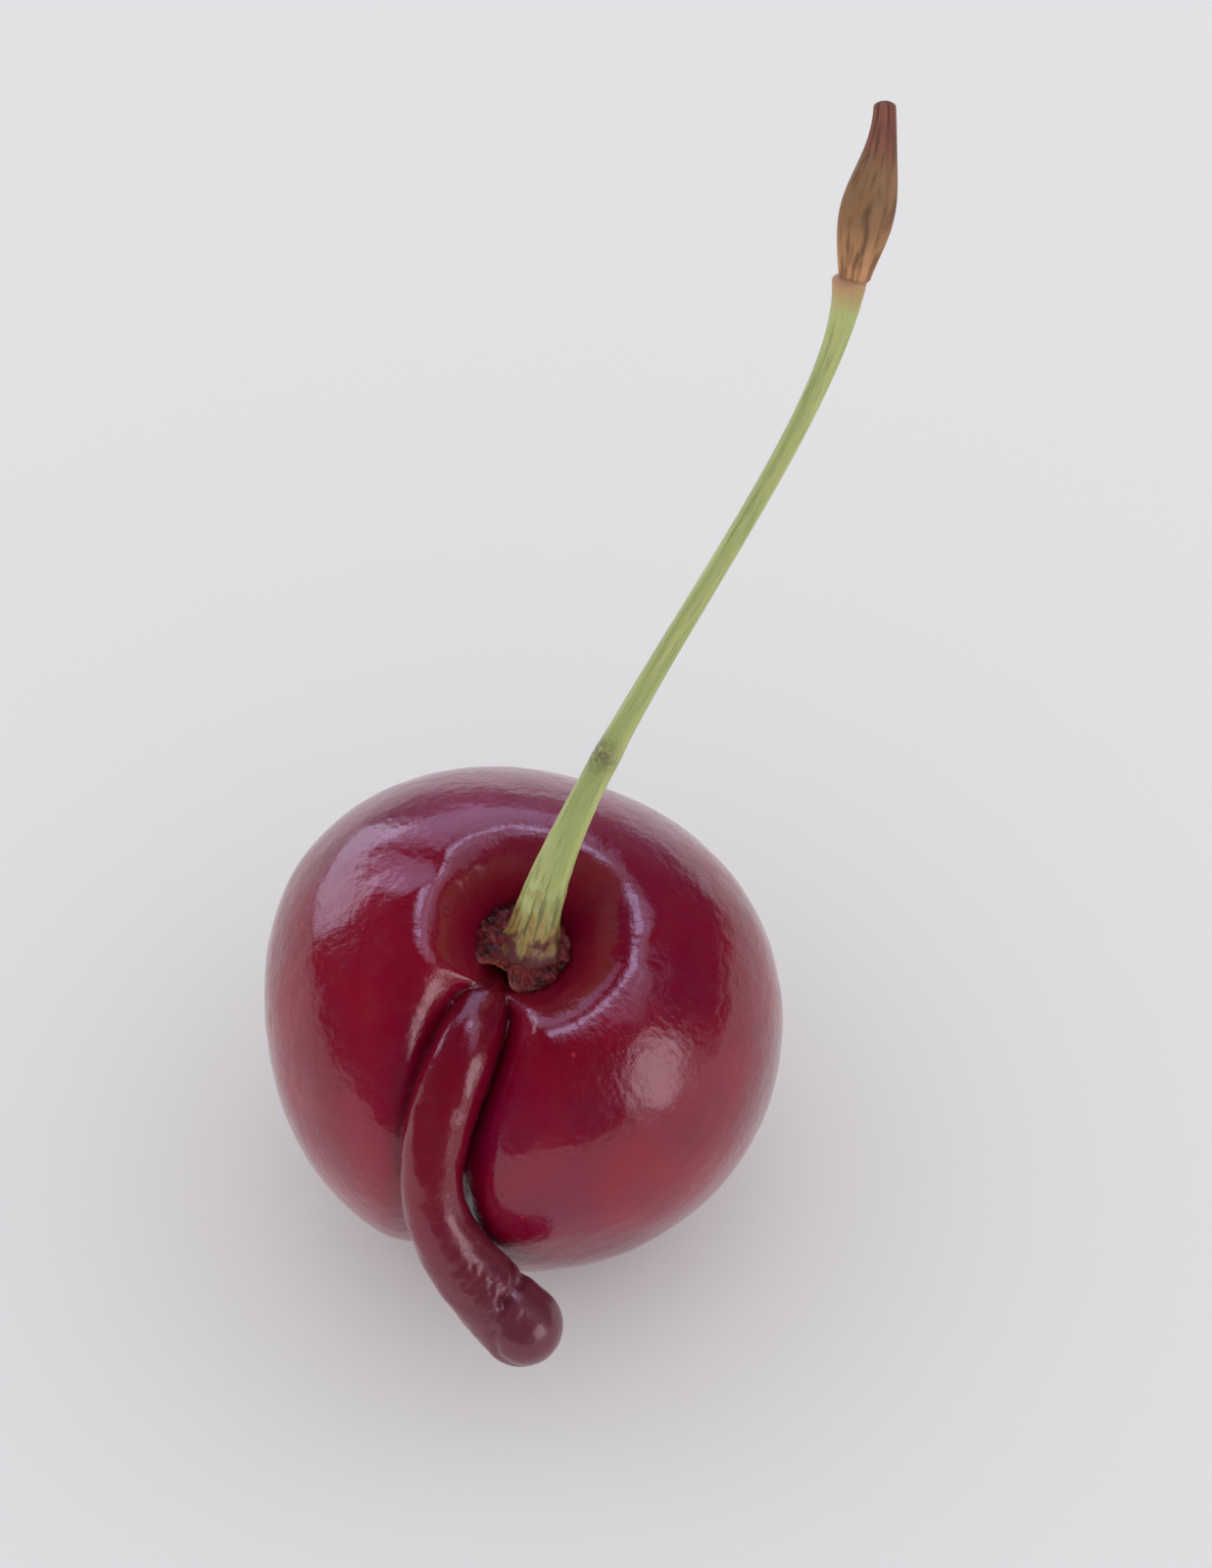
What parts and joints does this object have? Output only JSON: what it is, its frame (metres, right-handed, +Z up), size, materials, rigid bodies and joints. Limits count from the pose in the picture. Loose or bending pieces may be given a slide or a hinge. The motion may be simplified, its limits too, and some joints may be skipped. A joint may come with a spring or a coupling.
{
  "type": "sweet cherry with a malformed outgrowth",
  "caption": "Glossy dark-red sweet cherry with its stem, resting on its underside, with a finger-shaped outgrowth hanging from its front furrow.",
  "frame": {"origin": "middle of the small flat spot on the underside that the fruit rests on", "axes": "+Z up; -Y is the front, where the outgrowth hangs; +X is to the right, the side that the stem leans to"},
  "size_m": [0.0294, 0.0368, 0.0522],
  "materials": {
    "cherry_skin": "glossy waxy cherry skin",
    "green_stem": "satin yellow-green stem",
    "dried_flower_cup": "wrinkled dried maroon-brown plant tissue",
    "dried_bud_scale": "dry brown papery bud scale"
  },
  "bodies": {
    "root": {"fruit": "cherry_skin", "flower_cup": "dried_flower_cup", "stem": "green_stem", "bud_scale": "dried_bud_scale"}
  },
  "joints": []
}
